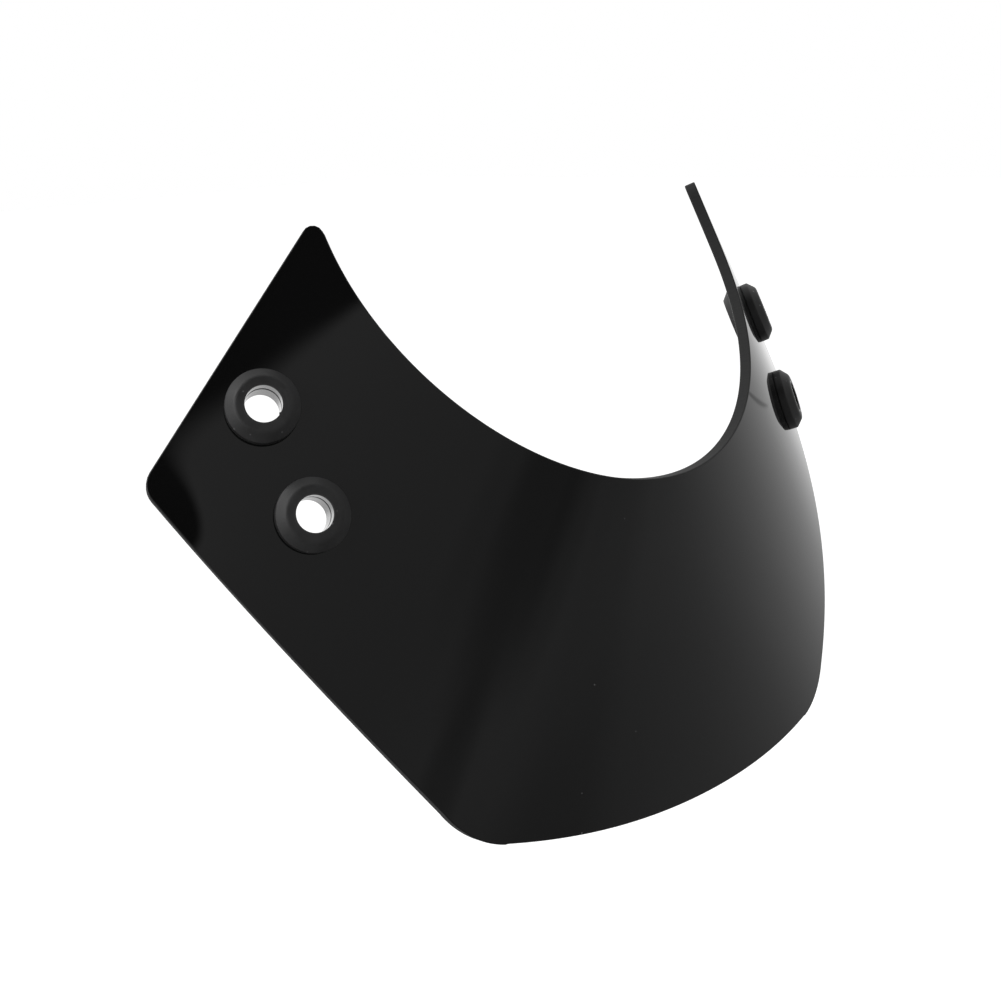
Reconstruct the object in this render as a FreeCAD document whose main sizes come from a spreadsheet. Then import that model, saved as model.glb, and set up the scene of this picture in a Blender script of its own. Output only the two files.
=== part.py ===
import FreeCAD, Part
import Sketcher
import math
import os

# Scooter flyscreen: one sheet of black acrylic, cut flat, polished round its edges, warmed and bent
# into a nose with two wings, and four moulded rubber grommets that carry it on its bolts.
# Frame: X to the right as seen from the front, Y from the nose to the back, Z up the fold at the
# middle of the nose.
# Millimetres and degrees throughout.

os.makedirs("parts", exist_ok=True)
doc = FreeCAD.newDocument("scooter_flyscreen")

# Driving dimensions. "out" is the distance from the middle line and "up" the height above the datum
# line, both measured on the flat blank before it is bent.
SIZES = [
    ("sheet_thick", 3.0, "thickness of the acrylic"),
    ("edge_break", 0.3, "polished break along both rims of the cut edge"),
    ("lamp_radius", 85.5, "radius of the round cut that clears the headlamp"),
    ("lamp_up", 127.5, "height of that cut's centre"),
    ("nose_radius", 310.0, "radius of the bowed nose edge"),
    ("nose_drop", 42.0, "how far the nose edge hangs below the datum at the middle"),
    ("corner_out", 72.5, "where the nose edge and the side edge would cross"),
    ("corner_round", 26.5, "rounding of that corner"),
    ("side_bow", 1.9, "how far the side edge bows out at its middle"),
    ("wing_out", 135.5, "where the side edge and the end edge would cross, outwards"),
    ("wing_up", 60.0, "the same point, upwards"),
    ("wing_round", 5.5, "rounding of that corner"),
    ("tip_angle", 83.0, "how far round the lamp cut the tip of the wing lies"),
    ("tip_round", 2.5, "rounding of the tip"),
    ("station", 50.0, "spacing of the stations along the datum where bend and lean are set"),
    ("nose_bend", 286.0, "bend radius at the nose"),
    ("shoulder_bend", 154.0, "bend radius one station out"),
    ("wing_bend", 172.5, "bend radius two stations out; the wing is flat from the third"),
    ("shoulder_lean_angle", 29.0, "lean of the fold lines towards the middle, one station out"),
    ("wing_lean_angle", 41.0, "the same two stations out"),
    ("tip_lean_angle", 69.0, "the same three stations out"),
    ("hole_along", 30.0, "upper grommet hole, along the end edge from the wing corner"),
    ("hole_inset", 13.5, "upper grommet hole, in from the end edge"),
    ("hole_step_back", 15.1, "lower grommet hole, how much nearer to the wing corner than the upper"),
    ("hole_step_in", 22.1, "lower grommet hole, how much further in than the upper"),
    ("hole_dia", 12.5, "hole in the sheet, which the grommet's neck fills"),
    ("bore_dia", 8.5, "bore of the grommet"),
    ("flange_dia", 17.2, "diameter of the grommet's flanges"),
    ("outer_flange", 4.0, "height of the flange outside the sheet"),
    ("inner_flange", 3.0, "height of the flange inside the sheet"),
    ("bevel_wide", 2.2, "bevel round the outer flange, across"),
    ("bevel_deep", 2.0, "the same bevel along the axis"),
    ("set_back", 29.05, "from the front of the nose to the middle of the depth"),
]

sheet = doc.addObject("Spreadsheet::Sheet", "sizes")
for row, (alias, value, meaning) in enumerate(SIZES, start=1):
    sheet.set("A%d" % row, meaning)
    sheet.set("B%d" % row, str(value))
    sheet.setAlias("B%d" % row, alias)
doc.recompute()


def size(alias):
    return float(sheet.get(alias))


# How the blank is bent. A datum line runs out from the nose. At each point of it a straight fold
# line crosses the sheet, leaning more and more towards the middle, and the sheet bends about it.

STEPS = 200


def step_length():
    """Distance from one computed fold line to the next; the last lies well past the wing's corner."""
    return 1.45 * size("wing_out") / STEPS


def through_stations(values):
    """Cubic through four values that lie one station apart, and its slope, as functions of s."""
    gap = size("station")
    a, b, c, d = values
    one = b - a
    two = c - 2 * b + a
    three = d - 3 * c + 3 * b - a

    def value(s):
        x = s / gap
        return a + one * x + two * x * (x - 1) / 2 + three * x * (x - 1) * (x - 2) / 6

    def slope(s):
        x = s / gap
        return (one + two * (2 * x - 1) / 2 + three * (3 * x * x - 6 * x + 2) / 6) / gap

    return value, slope


class Fold:
    """One fold line: its place on the blank and on the bent sheet."""

    def __init__(self, s, lean, flat, point, across, outward, along):
        self.s = s
        self.lean = lean
        self.flat = flat
        self.point = point
        self.across = across
        self.outward = outward
        self.along = along


def bend_sheet():
    """Walk out along the datum and turn the sheet a little at every step."""
    bend, _ = through_stations([1 / size("nose_bend"), 1 / size("shoulder_bend"), 1 / size("wing_bend"), 0.0])
    leans = [0.0, size("shoulder_lean_angle"), size("wing_lean_angle"), size("tip_lean_angle")]
    _, lean_slope = through_stations(leans)
    flat_from = 3 * size("station")
    step = step_length()
    point = FreeCAD.Vector(0, 0, 0)
    across = FreeCAD.Vector(1, 0, 0)
    outward = FreeCAD.Vector(0, -1, 0)
    along = FreeCAD.Vector(0, 0, 1)
    flat = FreeCAD.Vector(0, 0, 0)
    folds = []
    turned = 0.0
    for i in range(STEPS + 1):
        s = i * step
        folds.append(Fold(s, turned, flat, point, across, outward, along))
        middle = s + step / 2
        curve = max(bend(middle), 0.0) if middle < flat_from else 0.0
        swing = lean_slope(middle) if middle < flat_from else 0.0
        axis = along * curve + outward * math.radians(swing)
        turn = FreeCAD.Rotation()
        if axis.Length > 0:
            turn = FreeCAD.Rotation(axis, math.degrees(axis.Length) * step)
        ahead = turn.multVec(across)
        point = point + (across + ahead) * (step / 2)
        heading = math.radians(turned + swing * step / 2)
        flat = flat + FreeCAD.Vector(math.cos(heading), math.sin(heading), 0) * step
        across = ahead
        outward = turn.multVec(outward)
        along = turn.multVec(along)
        turned += swing * step
    return folds


FOLDS = bend_sheet()
STAND = FreeCAD.Vector(0, -size("set_back"), size("nose_drop"))


def fold_between(s):
    """The fold line at any distance out, blended from its two neighbours."""
    steps_out = s / step_length()
    i = min(int(steps_out), len(FOLDS) - 2)
    w = steps_out - i
    a, b = FOLDS[i], FOLDS[i + 1]

    def blend(u, v):
        return u * (1 - w) + v * w

    along = blend(a.along, b.along)
    outward = blend(a.outward, b.outward)
    across = blend(a.across, b.across)
    return Fold(s, blend(a.lean, b.lean), blend(a.flat, b.flat), blend(a.point, b.point),
                across.normalize(), outward.normalize(), along.normalize())


def on_fold(out, up):
    """Which fold line a point of the blank lies on, and how far up that line. Left is negative."""
    spot = FreeCAD.Vector(abs(out), up, 0)
    before = 0.0
    for fold in FOLDS:
        lean = math.radians(fold.lean)
        beyond = (spot - fold.flat).dot(FreeCAD.Vector(math.cos(lean), math.sin(lean), 0))
        if beyond <= 0:
            break
        before = beyond
    share = before / (before - beyond) if before > 0 else 1.0
    s = max(fold.s - (1 - share) * step_length(), 0.0)
    here = fold_between(s)
    lean = math.radians(here.lean)
    rise = (spot - here.flat).dot(FreeCAD.Vector(-math.sin(lean), math.cos(lean), 0))
    return math.copysign(s, out), rise


def bent(s, rise, depth):
    """The point of the bent sheet at a fold line, a height up it and a depth below the outer face."""
    fold = fold_between(abs(s))
    spot = fold.point + fold.along * rise - fold.outward * depth
    if s < 0:
        spot.x = -spot.x
    return spot + STAND


# The outline of the blank, on its right half, from the middle of the lamp cut round to the nose.


def polar(centre, radius, degrees):
    angle = math.radians(degrees)
    return centre + FreeCAD.Vector(math.cos(angle), math.sin(angle), 0) * radius


def rounded(before, corner, after, radius):
    """Centre, start angle and turn of the arc that rounds a corner between two straight runs."""
    one = (before - corner).normalize()
    two = (after - corner).normalize()
    half = one.getAngle(two) / 2
    centre = corner + (one + two).normalize() * (radius / math.sin(half))
    start = corner + one * (radius / math.tan(half)) - centre
    end = corner + two * (radius / math.tan(half)) - centre
    first = math.degrees(math.atan2(start.y, start.x))
    turn = (math.degrees(math.atan2(end.y, end.x)) - first + 180) % 360 - 180
    return centre, first, turn


def arc_points(centre, radius, first, turn, count):
    return [polar(centre, radius, first + turn * i / count) for i in range(count + 1)]


def run_points(start, end, bow, count):
    """A nearly straight run that bows out to its right by `bow` at the middle."""
    side = (end - start).cross(FreeCAD.Vector(0, 0, 1)).normalize()
    return [start + (end - start) * (i / count) + side * (4 * bow * i * (count - i) / count ** 2)
            for i in range(count + 1)]


def half_outline():
    lamp = FreeCAD.Vector(0, size("lamp_up"), 0)
    sweep = FreeCAD.Vector(0, size("nose_radius") - size("nose_drop"), 0)
    tip = polar(lamp, size("lamp_radius"), size("tip_angle") - 90)
    wing = FreeCAD.Vector(size("wing_out"), size("wing_up"), 0)
    lean_out = math.degrees(math.asin(size("corner_out") / size("nose_radius")))
    corner = polar(sweep, size("nose_radius"), lean_out - 90)
    towards_cut = tip + FreeCAD.Vector(0, 0, -1).cross(tip - lamp)
    towards_nose = corner + FreeCAD.Vector(0, 0, -1).cross(corner - sweep)

    tip_arc = arc_points(*rounded_of(towards_cut, tip, wing, "tip_round"), 5)
    wing_arc = arc_points(*rounded_of(tip, wing, corner, "wing_round"), 5)
    nose_arc = arc_points(*rounded_of(wing, corner, towards_nose, "corner_round"), 6)

    cut_end = math.degrees(math.atan2(tip_arc[0].x, lamp.y - tip_arc[0].y))
    nose_end = math.degrees(math.atan2(nose_arc[-1].x, sweep.y - nose_arc[-1].y))
    lamp_cut = arc_points(lamp, size("lamp_radius"), -90, cut_end, 12)
    nose_edge = arc_points(sweep, size("nose_radius"), nose_end - 90, -nose_end, 4)
    lamp_cut[-1] = tip_arc[0]
    nose_edge[0] = nose_arc[-1]
    end_edge = run_points(tip_arc[-1], wing_arc[0], 0, 6)
    side_edge = run_points(wing_arc[-1], nose_arc[0], -size("side_bow"), 8)
    return [lamp_cut, tip_arc, end_edge, wing_arc, side_edge, nose_arc, nose_edge]


def rounded_of(before, corner, after, alias):
    centre, first, turn = rounded(before, corner, after, size(alias))
    return centre, size(alias), first, turn


def whole_outline():
    """The closed outline: the right half, then its mirror image back up the left side."""
    right = half_outline()
    left = [[FreeCAD.Vector(-p.x, p.y, 0) for p in reversed(run)] for run in reversed(right)]
    nose = right[-1] + left[0][1:]
    cut = left[-1] + right[0][1:]
    return [cut] + right[1:-1] + [nose] + left[1:-1]


def drawn_in(runs, inset):
    """The outline drawn in by a small inset, point by point along its own normal."""
    moved = []
    for run in runs:
        shifted = []
        for i, point in enumerate(run):
            ahead = run[min(i + 1, len(run) - 1)] - run[max(i - 1, 0)]
            shifted.append(point + FreeCAD.Vector(0, 0, -1).cross(ahead).normalize() * inset)
        moved.append(shifted)
    for run, following in zip(moved, moved[1:] + moved[:1]):
        meet = (run[-1] + following[0]) * 0.5
        run[-1] = meet
        following[0] = meet
    return moved


def sheet_surface(depth, far, low, high):
    """The bent surface at one depth: straight fold lines carried between two rails."""
    span = [far * i / 17 for i in range(-17, 18)]
    rails = []
    for rise in (low, high):
        rail = Part.BSplineCurve()
        rail.interpolate(Points=[bent(s, rise, depth) for s in span], Parameters=span)
        rails.append(rail)
    surface = Part.BSplineSurface()
    poles = [[a, b] for a, b in zip(rails[0].getPoles(), rails[1].getPoles())]
    surface.buildFromPolesMultsKnots(poles, rails[0].getMultiplicities(), [2, 2], rails[0].getKnots(),
                                     [low, high], False, False, rails[0].Degree, 1)
    surface.increaseDegree(3, 3)
    return surface


def wrapped(runs, surface):
    """Edges of the outline laid on a bent surface."""
    edges = []
    for run in runs:
        line = Part.Geom2d.BSplineCurve2d()
        line.interpolate([FreeCAD.Base.Vector2d(*on_fold(p.x, p.y)) for p in run])
        edges.append(line.toShape(surface))
    return edges


def bent_blank():
    """The bent sheet as one solid, with its cut edge square to the sheet and its rims broken."""
    outline = whole_outline()
    thick = size("sheet_thick")
    rim = size("edge_break")
    spots = [on_fold(p.x, p.y) for run in outline for p in run]
    far = max(s for s, rise in spots) + thick
    low = min(rise for s, rise in spots) - thick
    high = max(rise for s, rise in spots) + thick
    inner_outline = drawn_in(outline, rim)
    levels = [(0.0, inner_outline), (rim, outline), (thick - rim, outline), (thick, inner_outline)]
    surfaces = [sheet_surface(depth, far, low, high) for depth, _ in levels]
    rings = [wrapped(runs, surface) for (_, runs), surface in zip(levels, surfaces)]
    faces = []
    for surface, ring in ((surfaces[0], rings[0]), (surfaces[-1], rings[-1])):
        face = Part.Face(surface, Part.Wire(ring))
        face.validate()
        faces.append(face)
    for upper, lower in zip(rings, rings[1:]):
        faces += [Part.makeRuledSurface(a, b) for a, b in zip(upper, lower)]
    shell = Part.Shell(faces)
    shell.sewShape(0.01)
    solid = Part.Solid(shell)
    if solid.Volume < 0:
        solid.reverse()
    return solid


blank = doc.addObject("Part::Feature", "blank")
blank.Label = "bent_blank"
blank.Shape = bent_blank()

# Holes and grommets, two to a wing. Each sits square to the sheet where its hole was drilled.

PLACES = [("right_upper", 0, 1), ("right_lower", 1, 1), ("left_upper", 0, -1), ("left_lower", 1, -1)]


def hole_centre(steps):
    """Centre of a hole on the right half of the blank, so many steps on from the upper one."""
    corner = FreeCAD.Vector(size("wing_out"), size("wing_up"), 0)
    lamp = FreeCAD.Vector(0, size("lamp_up"), 0)
    edge = (polar(lamp, size("lamp_radius"), size("tip_angle") - 90) - corner).normalize()
    inward = edge.cross(FreeCAD.Vector(0, 0, -1))
    along = size("hole_along") - steps * size("hole_step_back")
    return corner + edge * along + inward * (size("hole_inset") + steps * size("hole_step_in"))


def square_to_sheet(steps, side, depth):
    """Placement with its Z out of the sheet and its origin a depth below the outer face."""
    centre = hole_centre(steps)
    s, rise = on_fold(centre.x, centre.y)
    outward = fold_between(s).outward
    outward.x *= side
    turn = FreeCAD.Rotation(FreeCAD.Vector(0, 0, 1), outward)
    return FreeCAD.Placement(bent(s * side, rise, depth), turn)


drills = []
for name, steps, side in PLACES:
    drill = doc.addObject("Part::Cylinder", "drill_" + name)
    drill.Label = "drill_" + name
    drill.setExpression("Radius", "sizes.hole_dia / 2")
    drill.setExpression("Height", "3 * sizes.sheet_thick")
    drill.Placement = square_to_sheet(steps, side, 2 * size("sheet_thick"))
    drills.append(drill)

all_drills = doc.addObject("Part::MultiFuse", "all_drills")
all_drills.Label = "all_drills"
all_drills.Shapes = drills

screen = doc.addObject("Part::Cut", "screen")
screen.Label = "screen"
screen.Base = blank
screen.Tool = all_drills
doc.recompute()


def origin_part(body, role):
    return [part for part in body.Origin.OriginFeatures if part.Role == role][0]


def turned_spool(body, name):
    """A grommet turned as one spool: a plain inner flange and a bevelled outer one, bored right through.

    Height runs from its inner end.
    """
    sketch = body.newObject("Sketcher::SketchObject", "profile_" + name)
    sketch.AttachmentSupport = (origin_part(body, "XZ_Plane"), [""])
    sketch.MapMode = "FlatFace"
    bore = size("bore_dia") / 2
    rim = size("flange_dia") / 2
    ring = rim - size("bevel_wide")
    bevel = size("bevel_deep")
    total = size("inner_flange") + size("sheet_thick") + size("outer_flange")
    corners = [(bore, total), (ring, total), (rim, total - bevel), (rim, 0), (bore, 0)]
    count = len(corners)
    for i in range(count):
        start = FreeCAD.Vector(*corners[i], 0)
        end = FreeCAD.Vector(*corners[(i + 1) % count], 0)
        sketch.addGeometry(Part.LineSegment(start, end))
    for i in range(count):
        sketch.addConstraint(Sketcher.Constraint("Coincident", i, 2, (i + 1) % count, 1))
    sketch.addConstraint(Sketcher.Constraint("Horizontal", 0))
    sketch.addConstraint(Sketcher.Constraint("Vertical", 2))
    sketch.addConstraint(Sketcher.Constraint("PointOnObject", 3, 1, -1))
    sketch.addConstraint(Sketcher.Constraint("PointOnObject", 4, 1, -1))
    sketch.addConstraint(Sketcher.Constraint("Vertical", 4))
    height = "sizes.inner_flange + sizes.sheet_thick + sizes.outer_flange"
    rules = [
        ("bore_radius", "DistanceX", 0, "sizes.bore_dia / 2"),
        ("outer_face_height", "DistanceY", 0, height),
        ("outer_ring_radius", "DistanceX", 1, "sizes.flange_dia / 2 - sizes.bevel_wide"),
        ("rim_radius", "DistanceX", 2, "sizes.flange_dia / 2"),
        ("outer_rim_height", "DistanceY", 2, height + " - sizes.bevel_deep"),
    ]
    for label, kind, corner, rule in rules:
        value = corners[corner][0 if kind == "DistanceX" else 1]
        index = sketch.addConstraint(Sketcher.Constraint(kind, corner, 1, value))
        sketch.renameConstraint(index, label)
        sketch.setExpression("Constraints." + label, rule)
    turn = body.newObject("PartDesign::Revolution", "turn_" + name)
    turn.Profile = sketch
    turn.ReferenceAxis = (sketch, ["V_Axis"])
    turn.Angle = 360
    sketch.Visibility = False


# Neck and groove are whatever the sheet leaves of the spool, so the rubber follows the bent sheet.
grommets = []
for name, steps, side in PLACES:
    spool = doc.addObject("PartDesign::Body", "spool_" + name)
    spool.Label = "spool_" + name
    turned_spool(spool, name)
    below = size("sheet_thick") + size("inner_flange")
    spool.Placement = square_to_sheet(steps, side, below)
    grommet = doc.addObject("Part::Cut", "grommet_" + name)
    grommet.Label = "grommet_" + name
    grommet.Base = spool
    grommet.Tool = screen
    grommets.append(grommet)

doc.recompute()

for item in doc.Objects:
    if "Invalid" in item.State or "Error" in item.State:
        raise RuntimeError("did not build: " + item.Label)

for node in [screen] + grommets:
    if node.Shape.isNull() or not node.Shape.isValid() or len(node.Shape.Solids) != 1:
        raise RuntimeError("not one sound solid: " + node.Label)
    node.Shape.exportStep("parts/" + node.Label + ".step")
    print(node.Label, round(node.Shape.Volume, 1), "cubic mm")
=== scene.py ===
import math

import bpy
import numpy as np
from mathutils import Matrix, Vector


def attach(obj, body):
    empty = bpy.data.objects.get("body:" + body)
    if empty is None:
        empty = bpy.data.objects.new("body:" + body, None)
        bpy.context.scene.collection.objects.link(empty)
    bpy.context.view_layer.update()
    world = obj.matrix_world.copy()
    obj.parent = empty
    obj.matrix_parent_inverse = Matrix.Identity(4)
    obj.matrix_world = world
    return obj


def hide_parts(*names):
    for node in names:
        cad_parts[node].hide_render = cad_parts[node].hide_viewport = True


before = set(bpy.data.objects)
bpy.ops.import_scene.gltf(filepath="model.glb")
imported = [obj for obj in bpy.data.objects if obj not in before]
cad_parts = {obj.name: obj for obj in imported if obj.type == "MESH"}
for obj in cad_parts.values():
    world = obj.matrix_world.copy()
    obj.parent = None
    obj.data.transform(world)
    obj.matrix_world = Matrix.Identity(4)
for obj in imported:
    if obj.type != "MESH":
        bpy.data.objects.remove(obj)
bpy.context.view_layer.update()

# The flyscreen's own sizes, in millimetres, as its source gives them.
THICK = 3.0
LAMP_RADIUS = 85.5
LAMP_UP = 127.5
NOSE_RADIUS = 310.0
NOSE_DROP = 42.0
NOSE_ROUND = 26.5
CORNER_OUT = 72.5
WING = np.array([135.5, 60.0])
WING_ROUND = 5.5
TIP_ANGLE = math.radians(83.0)
TIP_ROUND = 2.5
SIDE_BOW = 1.9
STATION = 50.0
BENDS = [1 / 286.0, 1 / 154.0, 1 / 172.5, 0.0]
LEANS = [0.0, 29.0, 41.0, 69.0]
STAND = np.array([0.0, -29.05, 42.0])
HOLE = 6.25
HOLE_ALONG = 30.0
HOLE_IN = 13.5
LOWER_BACK = 15.1
LOWER_IN = 22.1
FLANGE = 8.6
FLANGE_FLAT = 6.4
BEVEL_DEEP = 2.0
OUTER_HIGH = 4.0
INNER_HIGH = 3.0
BORE = 4.25
MM = 0.001


# The bent sheet


def newton_cubic(values, s):
    """Cubic through four values one STATION apart, in forward differences, and its slope."""
    a, b, c, d = values
    one, two, three = b - a, c - 2 * b + a, d - 3 * c + 3 * b - a
    x = s / STATION
    value = a + one * x + two * x * (x - 1) / 2 + three * x * (x - 1) * (x - 2) / 6
    slope = (one + two * (2 * x - 1) / 2 + three * (3 * x * x - 6 * x + 2) / 6) / STATION
    return value, slope


def fold_table(step=0.5, reach=196.0):
    """Fold lines at even steps along the datum: blank place, lean, bent place and the three directions.

    The directions turn about w = bend * along + lean rate * outward, by Rodrigues' rule, step by step.
    """
    s = np.arange(0, reach, step)
    mid = s + step / 2
    live = mid < 3 * STATION
    bend = np.where(live, np.clip(newton_cubic(BENDS, mid)[0], 0, None), 0.0)
    swing = np.where(live, newton_cubic(LEANS, mid)[1], 0.0)
    lean = np.concatenate([[0], np.cumsum(swing[:-1])]) * step
    heading = np.radians(lean + swing * step / 2)
    flat = np.stack([np.cos(heading), np.sin(heading)], 1) * step
    flat = np.vstack([[0, 0], np.cumsum(flat, 0)[:-1]])
    frames = np.zeros((len(s), 3, 3))
    place = np.zeros((len(s), 3))
    frames[0] = [[1, 0, 0], [0, -1, 0], [0, 0, 1]]
    for i in range(len(s) - 1):
        w = (frames[i, 2] * bend[i] + frames[i, 1] * math.radians(swing[i])) * step
        angle = np.linalg.norm(w)
        k = w / max(angle, 1e-12)
        turned = (frames[i] * math.cos(angle) + np.cross(k, frames[i]) * math.sin(angle)
                  + np.outer(frames[i] @ k, k) * (1 - math.cos(angle)))
        frames[i + 1] = turned
        place[i + 1] = place[i] + (frames[i, 0] + turned[0]) * step / 2
    return {"s": s, "lean": np.radians(lean), "rate": np.radians(swing), "flat": flat,
            "place": place, "frames": frames}


FOLDS = fold_table()


def along_folds(key, s):
    """Values of the fold table at any distances out, blended linearly."""
    table = FOLDS[key]
    x = np.clip(s / FOLDS["s"][1], 0, len(table) - 1.001)
    i = x.astype(int)
    w = (x - i).reshape(x.shape + (1,) * (table.ndim - 1))
    return table[i] * (1 - w) + table[i + 1] * w


def find_fold(blank):
    """Distance out and height on the fold line through each blank point, by Newton's rule on
    (point - fold place) . fold heading = 0."""
    spot = np.abs(blank) * [1, 0] + blank * [0, 1]
    s = spot[..., 0].copy()
    for _ in range(12):
        lean = along_folds("lean", s)
        gap = spot - along_folds("flat", s)
        beyond = gap[..., 0] * np.cos(lean) + gap[..., 1] * np.sin(lean)
        rise = -gap[..., 0] * np.sin(lean) + gap[..., 1] * np.cos(lean)
        s = np.clip(s - beyond / (-1 + along_folds("rate", s) * rise), 0, FOLDS["s"][-1])
    return s, rise


def bent(blank, depth):
    """Bent places and outward normals of blank points (..., 2) at a depth below the outer face."""
    s, rise = find_fold(blank)
    frames = along_folds("frames", s)
    outward = frames[..., 1, :] / np.linalg.norm(frames[..., 1, :], axis=-1, keepdims=True)
    place = along_folds("place", s) + frames[..., 2, :] * rise[..., None]
    place = place - outward * np.broadcast_to(depth, s.shape)[..., None]
    side = np.where(blank[..., 0] < 0, -1.0, 1.0)
    flip = np.stack([side, np.ones_like(side), np.ones_like(side)], -1)
    return place * flip + STAND, outward * flip


# The outline of the blank


def polar(centre, radius, angle):
    """Points on a circle at any angles: centre + radius * (cos, sin)."""
    return np.asarray(centre) + radius * np.stack([np.cos(angle), np.sin(angle)], -1)


def round_corner(before, corner, after, radius, count):
    """Arc points that round a corner between two straight runs."""
    one = (before - corner) / np.linalg.norm(before - corner)
    two = (after - corner) / np.linalg.norm(after - corner)
    half = math.acos(np.clip(one @ two, -1, 1)) / 2
    middle = (one + two) / np.linalg.norm(one + two)
    centre = corner + middle * radius / math.sin(half)
    start = corner + one * radius / math.tan(half) - centre
    end = corner + two * radius / math.tan(half) - centre
    first = math.atan2(start[1], start[0])
    turn = (math.atan2(end[1], end[0]) - first + math.pi) % (2 * math.pi) - math.pi
    return polar(centre, radius, first + turn * np.linspace(0, 1, count))


def half_outline():
    """Right half of the blank's outline: the upper path from the middle of the lamp cut out to the
    middle of the wing corner's rounding, and the lower path from there in to the middle of the nose."""
    lamp = np.array([0, LAMP_UP])
    sweep = np.array([0, NOSE_RADIUS - NOSE_DROP])
    tip = polar(lamp, LAMP_RADIUS, TIP_ANGLE - math.pi / 2)
    lean_out = math.asin(CORNER_OUT / NOSE_RADIUS)
    corner = polar(sweep, NOSE_RADIUS, lean_out - math.pi / 2)
    into_cut = tip + np.array([(tip - lamp)[1], -(tip - lamp)[0]])
    into_nose = corner + np.array([(corner - sweep)[1], -(corner - sweep)[0]])
    tip_arc = round_corner(into_cut, tip, WING, TIP_ROUND, 25)
    wing_arc = round_corner(tip, WING, corner, WING_ROUND, 41)
    nose_arc = round_corner(WING, corner, into_nose, NOSE_ROUND, 61)
    cut_end = math.atan2(tip_arc[0][0], LAMP_UP - tip_arc[0][1])
    nose_end = math.atan2(nose_arc[-1][0], sweep[1] - nose_arc[-1][1])
    lamp_cut = polar(lamp, LAMP_RADIUS, np.linspace(0, cut_end, 241) - math.pi / 2)
    nose_edge = polar(sweep, NOSE_RADIUS, np.linspace(nose_end, 0, 121) - math.pi / 2)
    t = np.linspace(0, 1, 121)[:, None]
    end_edge = tip_arc[-1] + (wing_arc[0] - tip_arc[-1]) * t
    run = nose_arc[0] - wing_arc[-1]
    side = -np.array([run[1], -run[0]]) / np.linalg.norm(run)
    side_edge = wing_arc[-1] + run * t + side * (4 * SIDE_BOW * t * (1 - t))
    upper = np.vstack([lamp_cut[:-1], tip_arc, end_edge[1:-1], wing_arc[:21]])
    lower = np.vstack([wing_arc[20:], side_edge[1:-1], nose_arc, nose_edge[1:]])
    return upper, lower


def evenly(path, count):
    """The same path with evenly spaced points."""
    length = np.concatenate([[0], np.cumsum(np.linalg.norm(np.diff(path, axis=0), axis=1))])
    at = np.linspace(0, length[-1], count)
    return np.stack([np.interp(at, length, path[:, 0]), np.interp(at, length, path[:, 1])], 1)


def inward_normals(path):
    """Unit normals to the right of the path's run, which is the blank's inside."""
    run = np.gradient(path, axis=0)
    return np.stack([run[:, 1], -run[:, 0]], 1) / np.linalg.norm(run, axis=1)[:, None]


def mirrored(path):
    """A right-half path from the middle outwards, joined to its mirror image."""
    return np.vstack([(path * [-1, 1])[:0:-1], path])


# Cells of the sheet's grid from the middle to a wing's end and from the nose edge to the lamp cut.
ACROSS = 170
ROWS = 76
CELLS = 2 * ACROSS
# Half the side of the square block of cells that gives way to a circle of radius 1.
HALF_BLOCK = 0.886
# Half blocks beyond a hole over which the cells go back to their own places.
HOLE_EASE = 1.2
# Radius of the broken rims, and the warp beside a wing's corner: lean, place and reach.
RIM = 0.35
LIFT = 0.09
LIFT_ALONG = 13.0
LIFT_LONG = 15.0
LIFT_WIDE = 9.0


def sheet_grid():
    """Outline ring, its inward normals and the grid of blank points between nose edge and lamp cut.

    Point(a, b) = lower(a) * (1 - b) + upper(a) * b. Columns a run from wing to wing. Both paths are
    spaced evenly by length and drawn in by the rim's radius along their normals.
    """
    upper, lower = half_outline()
    upper = mirrored(evenly(upper, ACROSS + 1))
    lower = mirrored(evenly(lower, ACROSS + 1)[::-1])
    ring = np.vstack([upper, lower[-2:0:-1]])
    inside = inward_normals(np.vstack([ring[-1:], ring, ring[:1]]))[1:-1]
    drawn = ring + inside * RIM
    top = drawn[:CELLS + 1]
    bottom = np.vstack([drawn[:1], drawn[:CELLS:-1], drawn[CELLS:CELLS + 1]])
    b = np.linspace(0, 1, ROWS + 1)[None, :, None]
    return ring, inside, bottom[:, None] * (1 - b) + top[:, None] * b


def hole_places():
    """Hole centres on the blank, measured from the wing corner along and in from the end edge."""
    lamp = np.array([0, LAMP_UP])
    edge = polar(lamp, LAMP_RADIUS, TIP_ANGLE - math.pi / 2) - WING
    edge = edge / np.linalg.norm(edge)
    inward = np.array([-edge[1], edge[0]])
    upper = WING + edge * HOLE_ALONG + inward * HOLE_IN
    lower = WING + edge * (HOLE_ALONG - LOWER_BACK) + inward * (HOLE_IN + LOWER_IN)
    return {"right_upper": upper, "right_lower": lower,
            "left_upper": upper * [-1, 1], "left_lower": lower * [-1, 1]}


HOLES = hole_places()


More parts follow.
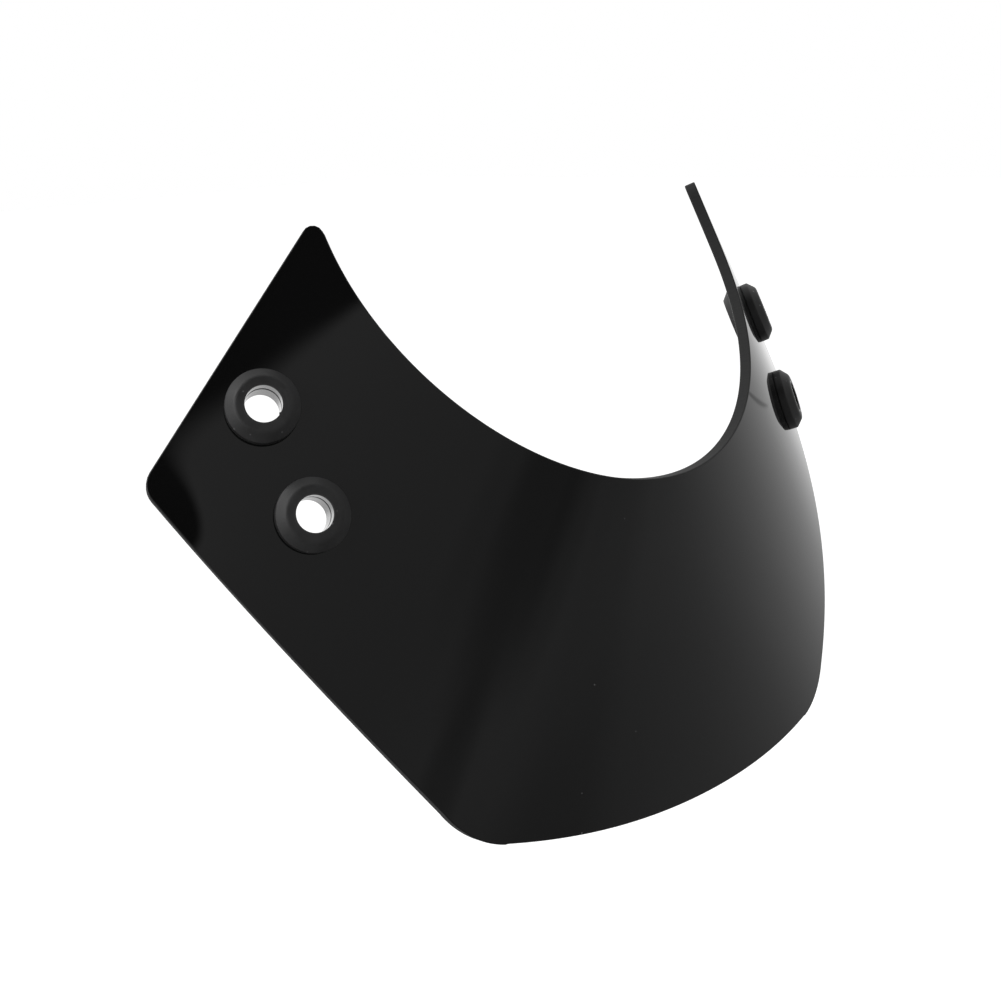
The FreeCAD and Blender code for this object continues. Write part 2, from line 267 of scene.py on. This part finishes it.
def open_hole(grid, centre):
    """Opens a round hole in the grid: a block of cells is left out and its border drawn to the circle.

    A point k half blocks from the centre moves along its own direction to the radius
    HOLE * k * (1 - w) + r * w, where w eases from 0 at the border to 1 a little further out.
    """
    offset = grid - centre
    reach = np.linalg.norm(offset, axis=-1)
    ic, jc = np.unravel_index(np.argmin(reach), reach.shape)
    wide = np.linalg.norm(grid[ic + 1, jc] - grid[ic, jc])
    high = np.linalg.norm(grid[ic, jc + 1] - grid[ic, jc])
    ni, nj = round(HALF_BLOCK * HOLE / wide), round(HALF_BLOCK * HOLE / high)
    i, j = np.meshgrid(np.arange(grid.shape[0]), np.arange(grid.shape[1]), indexing="ij")
    k = np.maximum(np.abs(i - ic) / ni, np.abs(j - jc) / nj)
    w = np.clip((k - 1) / HOLE_EASE, 0, 1)
    w = w * w * (3 - 2 * w)
    radius = HOLE * k * (1 - w) + reach * w
    moved = centre + offset / np.maximum(reach, 1e-9)[..., None] * radius[..., None]
    grid = np.where((k >= 1)[..., None], moved, grid)
    gone = (k[:-1, :-1] <= 1) & (k[1:, :-1] <= 1) & (k[1:, 1:] <= 1) & (k[:-1, 1:] <= 1)
    low_i, high_i, low_j, high_j = ic - ni, ic + ni, jc - nj, jc + nj
    up = [(low_i, n) for n in range(low_j, high_j)]
    over = [(n, high_j) for n in range(low_i, high_i)]
    down = [(high_i, n) for n in range(high_j, low_j, -1)]
    back = [(n, low_j) for n in range(high_i, low_i, -1)]
    return grid, gone, np.array(up + over + down + back)


def band(loop_a, loop_b):
    """Quads between two closed loops of vertex numbers."""
    return np.stack([loop_a, np.roll(loop_a, -1), np.roll(loop_b, -1), loop_b], 1)


def new_piece(name, places, faces, normals=None, fields=None):
    """A smooth mesh object at the origin, from places in millimetres and blocks of faces, with its own
    normals and number fields at its points where they are given."""
    mesh = bpy.data.meshes.new(name)
    mesh.from_pydata((np.asarray(places) * MM).tolist(), [], [f for block in faces for f in block.tolist()])
    mesh.polygons.foreach_set("use_smooth", np.ones(len(mesh.polygons), bool))
    for label, values in (fields or {}).items():
        field = mesh.attributes.new(label, "FLOAT", "POINT")
        field.data.foreach_set("value", np.asarray(values, np.float32))
    mesh.validate()
    if normals is not None:
        mesh.normals_split_custom_set_from_vertices(np.asarray(normals).tolist())
    piece = bpy.data.objects.new(name, mesh)
    bpy.context.collection.objects.link(piece)
    return piece


def corner_lift(blank):
    """How much the normal leans up beside each wing's corner, where the cut sheet warped a little.

    lift = LIFT * exp(-(across / LIFT_WIDE)**2 - ((along - LIFT_ALONG) / LIFT_LONG)**2), with `along`
    from the corner down the side edge and `across` square to it.
    """
    down = np.array([CORNER_OUT, -NOSE_DROP]) - WING
    down = down / np.linalg.norm(down)
    gap = np.abs(blank) * [1, 0] + blank * [0, 1] - WING
    along = gap @ down
    across = gap @ np.array([down[1], -down[0]])
    return LIFT * np.exp(-(across / LIFT_WIDE) ** 2 - ((along - LIFT_ALONG) / LIFT_LONG) ** 2)


def edge_levels():
    """Rounds of the cut edge from the outer rim to the inner one: inset, depth, and the shares of the
    face and of the edge in the normal.

    At angle f of a rim's quarter round a point lies RIM * (1 - sin f) in from the outline and
    RIM * (1 - cos f) below its face, and its normal is face * cos f + edge * sin f.
    """
    angles = np.radians([22.5, 45, 67.5, 90])
    rounds = [(RIM * (1 - math.sin(f)), RIM * (1 - math.cos(f)), math.cos(f), math.sin(f)) for f in angles]
    return rounds + [(inset, THICK - depth, -c, s) for inset, depth, c, s in rounds[::-1]]


def make_screen():
    """The bent sheet: outer and inner faces on one grid, a cut edge with rounded rims, four holes."""
    ring, inside, grid = sheet_grid()
    gone = np.zeros((grid.shape[0] - 1, grid.shape[1] - 1), bool)
    rims = []
    for centre in HOLES.values():
        grid, cells, rim = open_hole(grid, centre)
        gone |= cells
        rims.append(rim)
    outer, outward = bent(grid, 0.0)
    inner, _ = bent(grid, THICK)
    outward = outward + corner_lift(grid)[..., None] * np.array([0.0, 0.0, 1.0])
    outward = outward / np.linalg.norm(outward, axis=-1, keepdims=True)
    count = grid.shape[0] * grid.shape[1]
    number = np.arange(count).reshape(grid.shape[:2])
    number[0, :] = number[0, 0]
    number[-1, :] = number[-1, 0]
    places = [outer.reshape(-1, 3), inner.reshape(-1, 3)]
    normals = [outward.reshape(-1, 3), -outward.reshape(-1, 3)]
    edge_mask = [np.zeros(count), np.zeros(count)]
    edge_run = [np.zeros(count), np.zeros(count)]
    quads = np.stack([number[:-1, :-1], number[1:, :-1], number[1:, 1:], number[:-1, 1:]], -1)
    body = quads[1:-1][~gone[1:-1]]
    first, last = quads[0][:, [0, 1, 2]], quads[-1][:, [0, 1, 3]]
    faces = [body, first, last]
    faces += [f[:, ::-1] + count for f in faces]

    loop = np.concatenate([number[:, -1], number[-2:0:-1, 0]])
    length = np.cumsum(np.linalg.norm(ring - np.roll(ring, 1, axis=0), axis=1))
    start = 2 * count
    before = loop
    for inset, depth, c, s in edge_levels():
        on_ring, face = bent(ring + inside * inset, depth)
        nearer, _ = bent(ring + inside * (inset + 0.5), depth)
        edge = (on_ring - nearer) / np.linalg.norm(on_ring - nearer, axis=1)[:, None]
        places.append(on_ring)
        normals.append(face * c + edge * s)
        edge_mask.append(np.full(len(ring), s))
        edge_run.append(length)
        here = start + np.arange(len(ring))
        faces.append(band(before, here))
        before = here
        start += len(ring)
    faces.append(band(before, loop + count))
    for rim in rims:
        hole = number[rim[:, 0], rim[:, 1]]
        faces.append(band(hole + count, hole))
    return new_piece("acrylic_sheet", np.vstack(places), faces, np.vstack(normals),
                     {"cut_edge": np.concatenate(edge_mask), "edge_run": np.concatenate(edge_run)})


# Grommets

TURNS = 128
LONGEST_RUN = 0.45
CLEARANCE = 0.02
RING_DEEP = 0.17
# A nib of flash left in one bore's mouth: its angle, its height and its half width as an angle.
NIB = (math.radians(-40), 0.5, 0.055)
NIB_REACH = 5.2
# Heights over which a flange's underside stops following the bent sheet.
OUTER_FADE = 2.0
INNER_FADE = 1.2


def filleted(corners, radii, steps=7):
    """A closed profile of straight runs whose corners are rounded, each by its own radius."""
    corners = np.asarray(corners, float)
    out = []
    for i, radius in enumerate(radii):
        before, corner, after = corners[i - 1], corners[i], corners[(i + 1) % len(corners)]
        if radius == 0:
            out.append(corner[None])
        else:
            out.append(round_corner(before, corner, after, radius, steps))
    return np.vstack(out)


def divided(profile, longest):
    """The closed profile with its long runs divided."""
    out = []
    for here, there in zip(profile, np.roll(profile, -1, axis=0)):
        parts = max(1, math.ceil(np.linalg.norm(there - here) / longest))
        out.append(here + (there - here) * (np.arange(parts) / parts)[:, None])
    return np.vstack(out)


def grommet_profile():
    """Closed profile (r, z) of a grommet, z up from the sheet's outer face: the neck, two bevelled
    flanges, and a bore with a shallow moulding ring round its wall."""
    top, low, gap = OUTER_HIGH, -(THICK + INNER_HIGH), CLEARANCE
    corners = [(HOLE - gap, gap), (FLANGE, gap), (FLANGE, top - BEVEL_DEEP), (FLANGE_FLAT, top),
               (BORE, top), (BORE, 0.9), (BORE + RING_DEEP, 0.7), (BORE + RING_DEEP, 0.1), (BORE, -0.1),
               (BORE, low), (FLANGE_FLAT, low), (FLANGE, low + BEVEL_DEEP), (FLANGE, -THICK - gap),
               (HOLE - gap, -THICK - gap)]
    radii = [0.0, 0.15, 0.4, 1.6, 0.06, 0.1, 0.1, 0.1, 0.1, 0.12, 0.6, 0.3, 0.15, 0.0]
    return divided(filleted(corners, radii), LONGEST_RUN)


def hole_axes(centre):
    """A hole's middle on the outer face, its outward axis, and two directions square to that axis."""
    on_face = np.array(0.0)
    middle, axis = bent(centre, on_face)
    ahead = bent(centre + [0.5, 0], on_face)[0] - middle
    above = bent(centre + [0, 0.5], on_face)[0] - middle
    e1 = ahead - axis * (ahead @ axis)
    e1 = e1 / np.linalg.norm(e1)
    e2 = np.cross(axis, e1)
    return middle, axis, e1, e2 * (1 if above @ e2 > 0 else -1)


def make_grommet(name, centre, nib=None):
    """One grommet as a profile (r, z) turned about the hole's axis.

    Place = hole middle + r * (cos t * e1 + sin t * e2) + z * axis. Both flanges' undersides and the
    neck also take the sheet's own dip below its tangent plane at (r, t), fading to none across the
    rim. A nib of flash draws the bore's mouth in by its height times a bell of the angle.
    """
    profile = grommet_profile()
    R, T = np.meshgrid(profile[:, 0], np.linspace(0, 2 * math.pi, TURNS, endpoint=False))
    Z = np.broadcast_to(profile[:, 1], R.shape).copy()
    if nib is not None:
        at, size, half = nib
        swing = (T - at + math.pi) % (2 * math.pi) - math.pi
        lip = np.exp(-((Z - OUTER_HIGH + 0.3) / 0.35) ** 2) * (R < NIB_REACH)
        R = R - size * np.exp(-(swing / half) ** 2) * lip
    middle, axis, e1, e2 = hole_axes(centre)
    level = middle + R[..., None] * (np.cos(T)[..., None] * e1 + np.sin(T)[..., None] * e2)
    sheet, _ = bent(centre + np.stack([np.cos(T), np.sin(T)], -1) * R[..., None], 0.0)
    dip = (sheet - level) @ axis
    near = np.where(Z > -THICK / 2, Z / OUTER_FADE, (-THICK - Z) / INNER_FADE)
    fade = np.clip(1 - near, 0, 1) * (R > HOLE - 0.1)
    places = level + (Z + dip * fade)[..., None] * axis
    number = np.arange(R.size).reshape(R.shape)
    rows, cols = np.roll(number, -1, axis=0), np.roll(number, -1, axis=1)
    both = np.roll(rows, -1, axis=1)
    quads = np.stack([number, cols, both, rows], -1).reshape(-1, 4)
    if np.dot(np.cross(e1, e2), axis) > 0:
        quads = quads[:, ::-1]
    bore = np.clip((BORE + 0.3 - R) / 0.1, 0, 1)
    return new_piece(name, places.reshape(-1, 3), [quads], None,
                     {"bore_wall": bore.reshape(-1), "bore_depth": Z.reshape(-1)})


# Finishes


def shader_group(name, inputs, outputs):
    """An empty node group with named sockets, and its input and output nodes."""
    group = bpy.data.node_groups.new(name, "ShaderNodeTree")
    for label, kind, value in inputs:
        socket = group.interface.new_socket(label, in_out="INPUT", socket_type=kind)
        if value is not None:
            socket.default_value = value
    for label, kind in outputs:
        group.interface.new_socket(label, in_out="OUTPUT", socket_type=kind)
    return group, group.nodes.new("NodeGroupInput"), group.nodes.new("NodeGroupOutput")


def node(tree, kind, links=None, **settings):
    """A node with its settings, and its inputs linked or set by name or number."""
    made = tree.nodes.new(kind)
    for key, value in settings.items():
        setattr(made, key, value)
    for key, value in (links or {}).items():
        if isinstance(value, bpy.types.NodeSocket):
            tree.links.new(value, made.inputs[key])
        else:
            made.inputs[key].default_value = value
    return made


def dust_group():
    """Sparse specks: white where a fine cell's distance is small, in the few cells that hold one."""
    group, take, give = shader_group(
        "dust_specks", [("Place", "NodeSocketVector", None), ("Scale", "NodeSocketFloat", 300.0),
                        ("Share", "NodeSocketFloat", 0.02), ("Size", "NodeSocketFloat", 0.1)],
        [("Mask", "NodeSocketFloat")])
    cells = node(group, "ShaderNodeTexVoronoi", {"Vector": take.outputs["Place"],
                                                 "Scale": take.outputs["Scale"]}, feature="F1")
    pick = node(group, "ShaderNodeSeparateColor", {"Color": cells.outputs["Color"]})
    chosen = node(group, "ShaderNodeMath", {0: pick.outputs["Red"], 1: take.outputs["Share"]},
                  operation="LESS_THAN")
    size = node(group, "ShaderNodeMath", {0: take.outputs["Size"], 1: pick.outputs["Green"]},
                operation="MULTIPLY")
    inside = node(group, "ShaderNodeMath", {0: cells.outputs["Distance"], 1: size.outputs[0]},
                  operation="LESS_THAN")
    mask = node(group, "ShaderNodeMath", {0: chosen.outputs[0], 1: inside.outputs[0]},
                operation="MULTIPLY")
    group.links.new(mask.outputs[0], give.inputs["Mask"])
    return group


def wipe_group():
    """Faint wipe haze: broad noise times long streaks, the streaks stretched along one direction."""
    group, take, give = shader_group(
        "wipe_haze", [("Place", "NodeSocketVector", None), ("Low", "NodeSocketFloat", 0.02),
                      ("High", "NodeSocketFloat", 0.06)], [("Value", "NodeSocketFloat")])
    lie = node(group, "ShaderNodeMapping", {"Vector": take.outputs["Place"],
                                            "Rotation": (0.0, 0.6, 0.3), "Scale": (14.0, 14.0, 90.0)})
    streaks = node(group, "ShaderNodeTexNoise", {"Vector": lie.outputs[0], "Scale": 1.0, "Detail": 4.0,
                                                 "Roughness": 0.55})
    broad = node(group, "ShaderNodeTexNoise", {"Vector": take.outputs["Place"], "Scale": 22.0,
                                               "Detail": 3.0, "Roughness": 0.5})
    both = node(group, "ShaderNodeMath", {0: streaks.outputs["Fac"], 1: broad.outputs["Fac"]},
                operation="MULTIPLY")
    value = node(group, "ShaderNodeMapRange", {"Value": both.outputs[0], "From Min": 0.15, "From Max": 0.4,
                                               "To Min": take.outputs["Low"],
                                               "To Max": take.outputs["High"]})
    group.links.new(value.outputs[0], give.inputs["Value"])
    return group


def grain_group():
    """Moulded rubber grain: fine pits and soft swirls as a height, and their mottle as a tone."""
    group, take, give = shader_group(
        "rubber_grain", [("Place", "NodeSocketVector", None), ("Fineness", "NodeSocketFloat", 1600.0)],
        [("Height", "NodeSocketFloat"), ("Tone", "NodeSocketFloat")])
    fine = node(group, "ShaderNodeTexNoise", {"Vector": take.outputs["Place"],
                                              "Scale": take.outputs["Fineness"], "Detail": 3.0,
                                              "Roughness": 0.6})
    soft = node(group, "ShaderNodeTexNoise", {"Vector": take.outputs["Place"], "Scale": 160.0,
                                              "Detail": 4.0, "Roughness": 0.55, "Distortion": 0.6})
    half = node(group, "ShaderNodeMath", {0: soft.outputs["Fac"], 1: 0.8}, operation="MULTIPLY")
    height = node(group, "ShaderNodeMath", {0: fine.outputs["Fac"], 1: half.outputs[0]}, operation="ADD")
    group.links.new(height.outputs[0], give.inputs["Height"])
    group.links.new(soft.outputs["Fac"], give.inputs["Tone"])
    return group


DUST = dust_group()
WIPE = wipe_group()
GRAIN = grain_group()


def placed(tree, group, links):
    """A shared group's node in a material, with its inputs."""
    return node(tree, "ShaderNodeGroup", links, node_tree=group)


def finish_named(name):
    """A new material with its node tree, its shader and the object's own coordinates."""
    finish = bpy.data.materials.new(name)
    finish.use_nodes = True
    tree = finish.node_tree
    shader = tree.nodes["Principled BSDF"]
    place = tree.nodes.new("ShaderNodeTexCoord").outputs["Object"]
    return finish, tree, shader, place


def tone(tree, value, stops):
    """A colour ramp over near-grey stops (position, grey)."""
    ramp = node(tree, "ShaderNodeValToRGB", {"Fac": value})
    elements = ramp.color_ramp.elements
    for element, (at, grey) in zip([elements[0], elements[-1]], [stops[0], stops[-1]]):
        element.position = at
        element.color = (grey, grey, grey * 1.02, 1)
    for at, grey in stops[1:-1]:
        extra = elements.new(at)
        extra.color = (grey, grey, grey * 1.02, 1)
    return ramp.outputs["Color"]


def black_acrylic():
    """Cast black acrylic: mirror-smooth faces with faint wipe haze and dust, and a duller sawn edge
    whose roughness changes along its run."""
    finish, tree, shader, place = finish_named("black_acrylic")
    edge = node(tree, "ShaderNodeAttribute", attribute_name="cut_edge").outputs["Fac"]
    haze = placed(tree, WIPE, {"Place": place, "Low": 0.02, "High": 0.055})
    dust = placed(tree, DUST, {"Place": place, "Scale": 150.0, "Share": 0.3, "Size": 0.035})
    body = node(tree, "ShaderNodeTexNoise", {"Vector": place, "Scale": 9.0, "Detail": 2.0})
    depth = tone(tree, body.outputs["Fac"], [(0.3, 0.0015), (0.7, 0.0026)])
    sawn = tone(tree, body.outputs["Fac"], [(0.3, 0.002), (0.7, 0.004)])
    speck = tone(tree, body.outputs["Fac"], [(0.3, 0.10), (0.7, 0.2)])
    on_edge = node(tree, "ShaderNodeMix", {0: edge, 6: depth, 7: sawn}, data_type="RGBA")
    dusty = node(tree, "ShaderNodeMix", {0: dust.outputs["Mask"], 6: on_edge.outputs[2], 7: speck},
                 data_type="RGBA")
    tree.links.new(dusty.outputs[2], shader.inputs["Base Color"])
    run = node(tree, "ShaderNodeAttribute", attribute_name="edge_run").outputs["Fac"]
    sawing = node(tree, "ShaderNodeTexNoise", {"W": run, "Scale": 2.2, "Detail": 3.0}, noise_dimensions="1D")
    rough_edge = node(tree, "ShaderNodeMapRange", {"Value": sawing.outputs["Fac"], "From Min": 0.3,
                                                   "From Max": 0.7, "To Min": 0.6, "To Max": 0.68})
    rough = node(tree, "ShaderNodeMix", {0: edge, 2: haze.outputs["Value"], 3: rough_edge.outputs[0]},
                 data_type="FLOAT")
    rough_dust = node(tree, "ShaderNodeMath", {0: dust.outputs["Mask"], 1: 0.5}, operation="MULTIPLY")
    all_rough = node(tree, "ShaderNodeMath", {0: rough.outputs[0], 1: rough_dust.outputs[0]},
                     operation="ADD", use_clamp=True)
    tree.links.new(all_rough.outputs[0], shader.inputs["Roughness"])
    wave = node(tree, "ShaderNodeTexNoise", {"Vector": place, "Scale": 26.0, "Detail": 1.0})
    bump = node(tree, "ShaderNodeBump", {"Height": wave.outputs["Fac"], "Strength": 0.06, "Distance": 0.0004})
    tree.links.new(bump.outputs[0], shader.inputs["Normal"])
    shader.inputs["IOR"].default_value = 1.49
    return finish


def black_rubber():
    """Moulded black rubber: satin flanges with fine grain and a slicker bore with rings in it."""
    finish, tree, shader, place = finish_named("black_rubber")
    bore = node(tree, "ShaderNodeAttribute", attribute_name="bore_wall").outputs["Fac"]
    grain = placed(tree, GRAIN, {"Place": place, "Fineness": 1500.0})
    dust = placed(tree, DUST, {"Place": place, "Scale": 420.0, "Share": 1.0, "Size": 0.13})
    skin = tone(tree, grain.outputs["Tone"], [(0.3, 0.013), (0.5, 0.018), (0.72, 0.025)])
    speck = tone(tree, grain.outputs["Tone"], [(0.3, 0.10), (0.7, 0.16)])
    dusty = node(tree, "ShaderNodeMix", {0: dust.outputs["Mask"], 6: skin, 7: speck}, data_type="RGBA")
    tree.links.new(dusty.outputs[2], shader.inputs["Base Color"])
    face = node(tree, "ShaderNodeMapRange", {"Value": grain.outputs["Tone"], "From Min": 0.3,
                                             "From Max": 0.7, "To Min": 0.42, "To Max": 0.56})
    rough = node(tree, "ShaderNodeMix", {0: bore, 2: face.outputs[0], 3: 0.17}, data_type="FLOAT")
    tree.links.new(rough.outputs[0], shader.inputs["Roughness"])
    depth = node(tree, "ShaderNodeAttribute", attribute_name="bore_depth").outputs["Fac"]
    rings = node(tree, "ShaderNodeTexNoise", {"W": depth, "Scale": 1.1, "Detail": 2.5, "Roughness": 0.6},
                 noise_dimensions="1D")
    ringed = node(tree, "ShaderNodeMath", {0: rings.outputs["Fac"], 1: bore}, operation="MULTIPLY")
    high = node(tree, "ShaderNodeMath", {0: ringed.outputs[0], 1: 2.5, 2: grain.outputs["Height"]},
                operation="MULTIPLY_ADD")
    bump = node(tree, "ShaderNodeBump", {"Height": high.outputs[0], "Strength": 0.25, "Distance": 0.00012})
    tree.links.new(bump.outputs[0], shader.inputs["Normal"])
    shader.inputs["IOR"].default_value = 1.5
    tree.links.new(bore, shader.inputs["Coat Weight"])
    shader.inputs["Coat Roughness"].default_value = 0.1
    return finish


# The flyscreen

ACRYLIC = black_acrylic()
RUBBER = black_rubber()

sheet = make_screen()
sheet.data.materials.append(ACRYLIC)
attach(sheet, "root")
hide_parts("screen")

for name, centre in HOLES.items():
    nib = NIB if name == "left_upper" else None
    rubber = make_grommet("rubber_" + name, centre, nib)
    rubber.data.materials.append(RUBBER)
    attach(rubber, "root")
    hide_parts("grommet_" + name)


# The studio: a pale floor, a room dim in front and white behind, and three soft lamps


def studio_floor():
    """A wide pale floor below the part. The camera sees it white, with the part's soft shadow."""
    size, drop = 6.0, -0.25
    corners = np.array([[-size, -size, drop], [size, -size, drop], [size, size, drop], [-size, size, drop]])
    floor = new_piece("studio_floor", corners / MM, [np.array([[0, 1, 2, 3]])])
    finish = bpy.data.materials.new("pale_floor")
    finish.use_nodes = True
    tree = finish.node_tree
    tree.nodes.clear()
    path = tree.nodes.new("ShaderNodeLightPath")
    diffuse = node(tree, "ShaderNodeBsdfDiffuse", {"Color": (0.8, 0.8, 0.8, 1)})
    glow = node(tree, "ShaderNodeEmission", {"Color": (1, 1, 1, 1), "Strength": 0.7})
    lit = node(tree, "ShaderNodeAddShader", {0: diffuse.outputs[0], 1: glow.outputs[0]})
    seen = node(tree, "ShaderNodeMixShader", {0: path.outputs["Is Camera Ray"], 1: diffuse.outputs[0],
                                              2: lit.outputs[0]})
    node(tree, "ShaderNodeOutputMaterial", {"Surface": seen.outputs[0]})
    floor.data.materials.append(finish)
    floor.visible_glossy = False


studio_floor()


def direction(azimuth, height):
    """Unit direction: azimuth from the front of the nose towards +X, height upwards, in degrees."""
    a, h = math.radians(azimuth), math.radians(height)
    return (math.sin(a) * math.cos(h), -math.cos(a) * math.cos(h), math.sin(h))


# Levels of light by azimuth and by height, in degrees.
ROUND_THE_ROOM = [(-180, 0.75), (-150, 0.9), (-110, 0.8), (-75, 0.45), (-60, 0.36), (-20, 0.33), (-4, 0.34),
                  (20, 0.345), (28, 0.31), (36, 0.32), (42, 0.38), (55, 0.40), (70, 0.44), (80, 0.485),
                  (90, 0.55), (100, 0.62), (110, 0.76), (120, 0.97), (145, 1.0), (165, 0.85), (180, 0.75)]
UP_THE_ROOM = [(-90, 0.62), (-22, 0.64), (-18, 0.65), (-15, 0.75), (-12, 0.92), (-9, 1.0), (-3, 0.95),
               (5, 0.92), (12, 0.97), (20, 1.04), (28, 1.13), (34, 1.2), (60, 1.15), (90, 1.0)]

# Darker places: azimuth, height, the angles of full and of no darkening, light left, unevenness.
DIM_PLACES = [(14.5, 2.0, 2.5, 10.5, 0.57, 0.0), (20.5, -4.0, 0.5, 6.0, 0.8, 0.0),
              (9.7, -7.8, 0.5, 5.2, 0.72, 0.0), (5.5, 6.5, 1.0, 7.0, 0.88, 0.0),
              (-60.0, 62.0, 31.0, 33.0, 0.14, 0.012), (140.0, 70.0, 8.0, 38.0, 0.4, 0.0)]

# A thin dark seam: two places on its line, its middle, how fast it tapers to its ends, the distances
# from its line of full and of no darkening at its middle, and the share of light left.
SEAM_LINE = [(95, -3.8), (104, -4.5)]
SEAM_MIDDLE = (98.5, -4.1)
SEAM_TAPER = 0.35
SEAM_CORE = 0.0010
SEAM_EDGE = 0.0026
SEAM_LEFT = 0.55


def seam_share(tree, look):
    """Share of light left by the seam: least where |look . pole| - SEAM_TAPER * look . middle is least,
    with the pole square to both places on its line."""
    pole = np.cross(direction(*SEAM_LINE[0]), direction(*SEAM_LINE[1]))
    pole = tuple(pole / np.linalg.norm(pole))
    side = node(tree, "ShaderNodeVectorMath", {0: look, 1: pole}, operation="DOT_PRODUCT")
    off = node(tree, "ShaderNodeMath", {0: side.outputs["Value"]}, operation="ABSOLUTE")
    along = node(tree, "ShaderNodeVectorMath", {0: look, 1: direction(*SEAM_MIDDLE)},
                 operation="DOT_PRODUCT")
    away = node(tree, "ShaderNodeMath", {0: along.outputs["Value"], 1: -SEAM_TAPER, 2: off.outputs[0]},
                operation="MULTIPLY_ADD")
    return node(tree, "ShaderNodeMapRange",
                {"Value": away.outputs[0], "From Min": SEAM_CORE - SEAM_TAPER,
                 "From Max": SEAM_EDGE - SEAM_TAPER, "To Min": SEAM_LEFT, "To Max": 1.0}).outputs[0]


def studio_room():
    """The room's light by direction, level(azimuth) * level(height) * the shares left by the darker
    places and the seam. The camera itself sees plain white."""
    world = bpy.data.worlds.new("studio_room")
    bpy.context.scene.world = world
    world.use_nodes = True
    tree = world.node_tree
    tree.nodes.clear()
    look = tree.nodes.new("ShaderNodeTexCoord").outputs["Generated"]
    part = node(tree, "ShaderNodeSeparateXYZ", {"Vector": look})
    front = node(tree, "ShaderNodeMath", {0: part.outputs["Y"], 1: -1.0}, operation="MULTIPLY")
    round_angle = node(tree, "ShaderNodeMath", {0: part.outputs["X"], 1: front.outputs[0]},
                       operation="ARCTAN2")
    up_angle = node(tree, "ShaderNodeMath", {0: part.outputs["Z"]}, operation="ARCSINE")

    def levels(angle, stops):
        """Level at an angle in radians, between stops in degrees."""
        low, high = stops[0][0], stops[-1][0]
        share = node(tree, "ShaderNodeMapRange", {"Value": angle, "From Min": math.radians(low),
                                                  "From Max": math.radians(high)})
        ramp = node(tree, "ShaderNodeValToRGB", {"Fac": share.outputs[0]})
        elements = ramp.color_ramp.elements
        while len(elements) < len(stops):
            elements.new(0.5)
        for element, (at, level) in zip(elements, stops):
            element.position = (at - low) / (high - low)
            element.color = (level, level, level, 1)
        return ramp.outputs["Color"]

    ripple = node(tree, "ShaderNodeTexNoise", {"Vector": look, "Scale": 9.0, "Detail": 1.0})

    def shade(towards, inner, outer, low, unevenness):
        """Eases from low inside the inner angle to 1 outside the outer one, with an uneven edge."""
        dot = node(tree, "ShaderNodeVectorMath", {0: look, 1: towards}, operation="DOT_PRODUCT")
        uneven = node(tree, "ShaderNodeMath", {0: ripple.outputs["Fac"], 1: unevenness,
                                               2: dot.outputs["Value"]}, operation="MULTIPLY_ADD")
        return node(tree, "ShaderNodeMapRange",
                    {"Value": uneven.outputs[0], "From Min": math.cos(math.radians(outer)),
                     "From Max": math.cos(math.radians(inner)), "To Min": 1.0, "To Max": low},
                    interpolation_type="SMOOTHSTEP").outputs[0]

    shades = [shade(direction(azimuth, height), *rest) for azimuth, height, *rest in DIM_PLACES]
    level = node(tree, "ShaderNodeMath", {0: levels(round_angle.outputs[0], ROUND_THE_ROOM),
                                          1: levels(up_angle.outputs[0], UP_THE_ROOM)}, operation="MULTIPLY")
    for share in shades + [seam_share(tree, look)]:
        level = node(tree, "ShaderNodeMath", {0: level.outputs[0], 1: share}, operation="MULTIPLY")
    path = tree.nodes.new("ShaderNodeLightPath")
    strength = node(tree, "ShaderNodeMix", {0: path.outputs["Is Camera Ray"], 2: level.outputs[0], 3: 1.0},
                    data_type="FLOAT")
    back = node(tree, "ShaderNodeBackground", {"Color": (1, 1, 1, 1), "Strength": strength.outputs[0]})
    node(tree, "ShaderNodeOutputWorld", {"Surface": back.outputs[0]})


studio_room()


LAMP_AIM = Vector((0, 0, 0.08))


def soft_lamp(name, place, size, power):
    """A rectangular lamp at a place in metres, turned to the part, of so many watts."""
    light = bpy.data.lights.new(name, "AREA")
    light.shape = "RECTANGLE"
    light.size, light.size_y = size
    light.energy = power
    lamp = bpy.data.objects.new(name, light)
    bpy.context.collection.objects.link(lamp)
    lamp.location = place
    lamp.rotation_euler = (LAMP_AIM - Vector(place)).to_track_quat("-Z", "Y").to_euler()


soft_lamp("overhead", (0.1, 0.3, 1.6), (1.4, 1.0), 3.0)
soft_lamp("left_back", (-1.0, 0.4, 1.2), (0.9, 0.9), 6.0)
soft_lamp("side", (-1.5, 0.15, 0.5), (0.8, 0.8), 4.0)

# The camera that took the photograph, as fitted to its outline: metres, degrees, millimetres of lens
CAMERA_PLACE = (-0.425644, -0.352889, 0.184738)
CAMERA_TURN = (78.815, 2.4094, -48.5425)
CAMERA_LENS = 79.796

view = bpy.data.cameras.new("photo_camera")
view.sensor_width = 36.0
view.lens = CAMERA_LENS
view.clip_start = 0.01
camera = bpy.data.objects.new("photo_camera", view)
bpy.context.collection.objects.link(camera)
camera.location = CAMERA_PLACE
camera.rotation_euler = tuple(math.radians(a) for a in CAMERA_TURN)
bpy.context.scene.camera = camera

bpy.context.scene.view_settings.view_transform = "Standard"
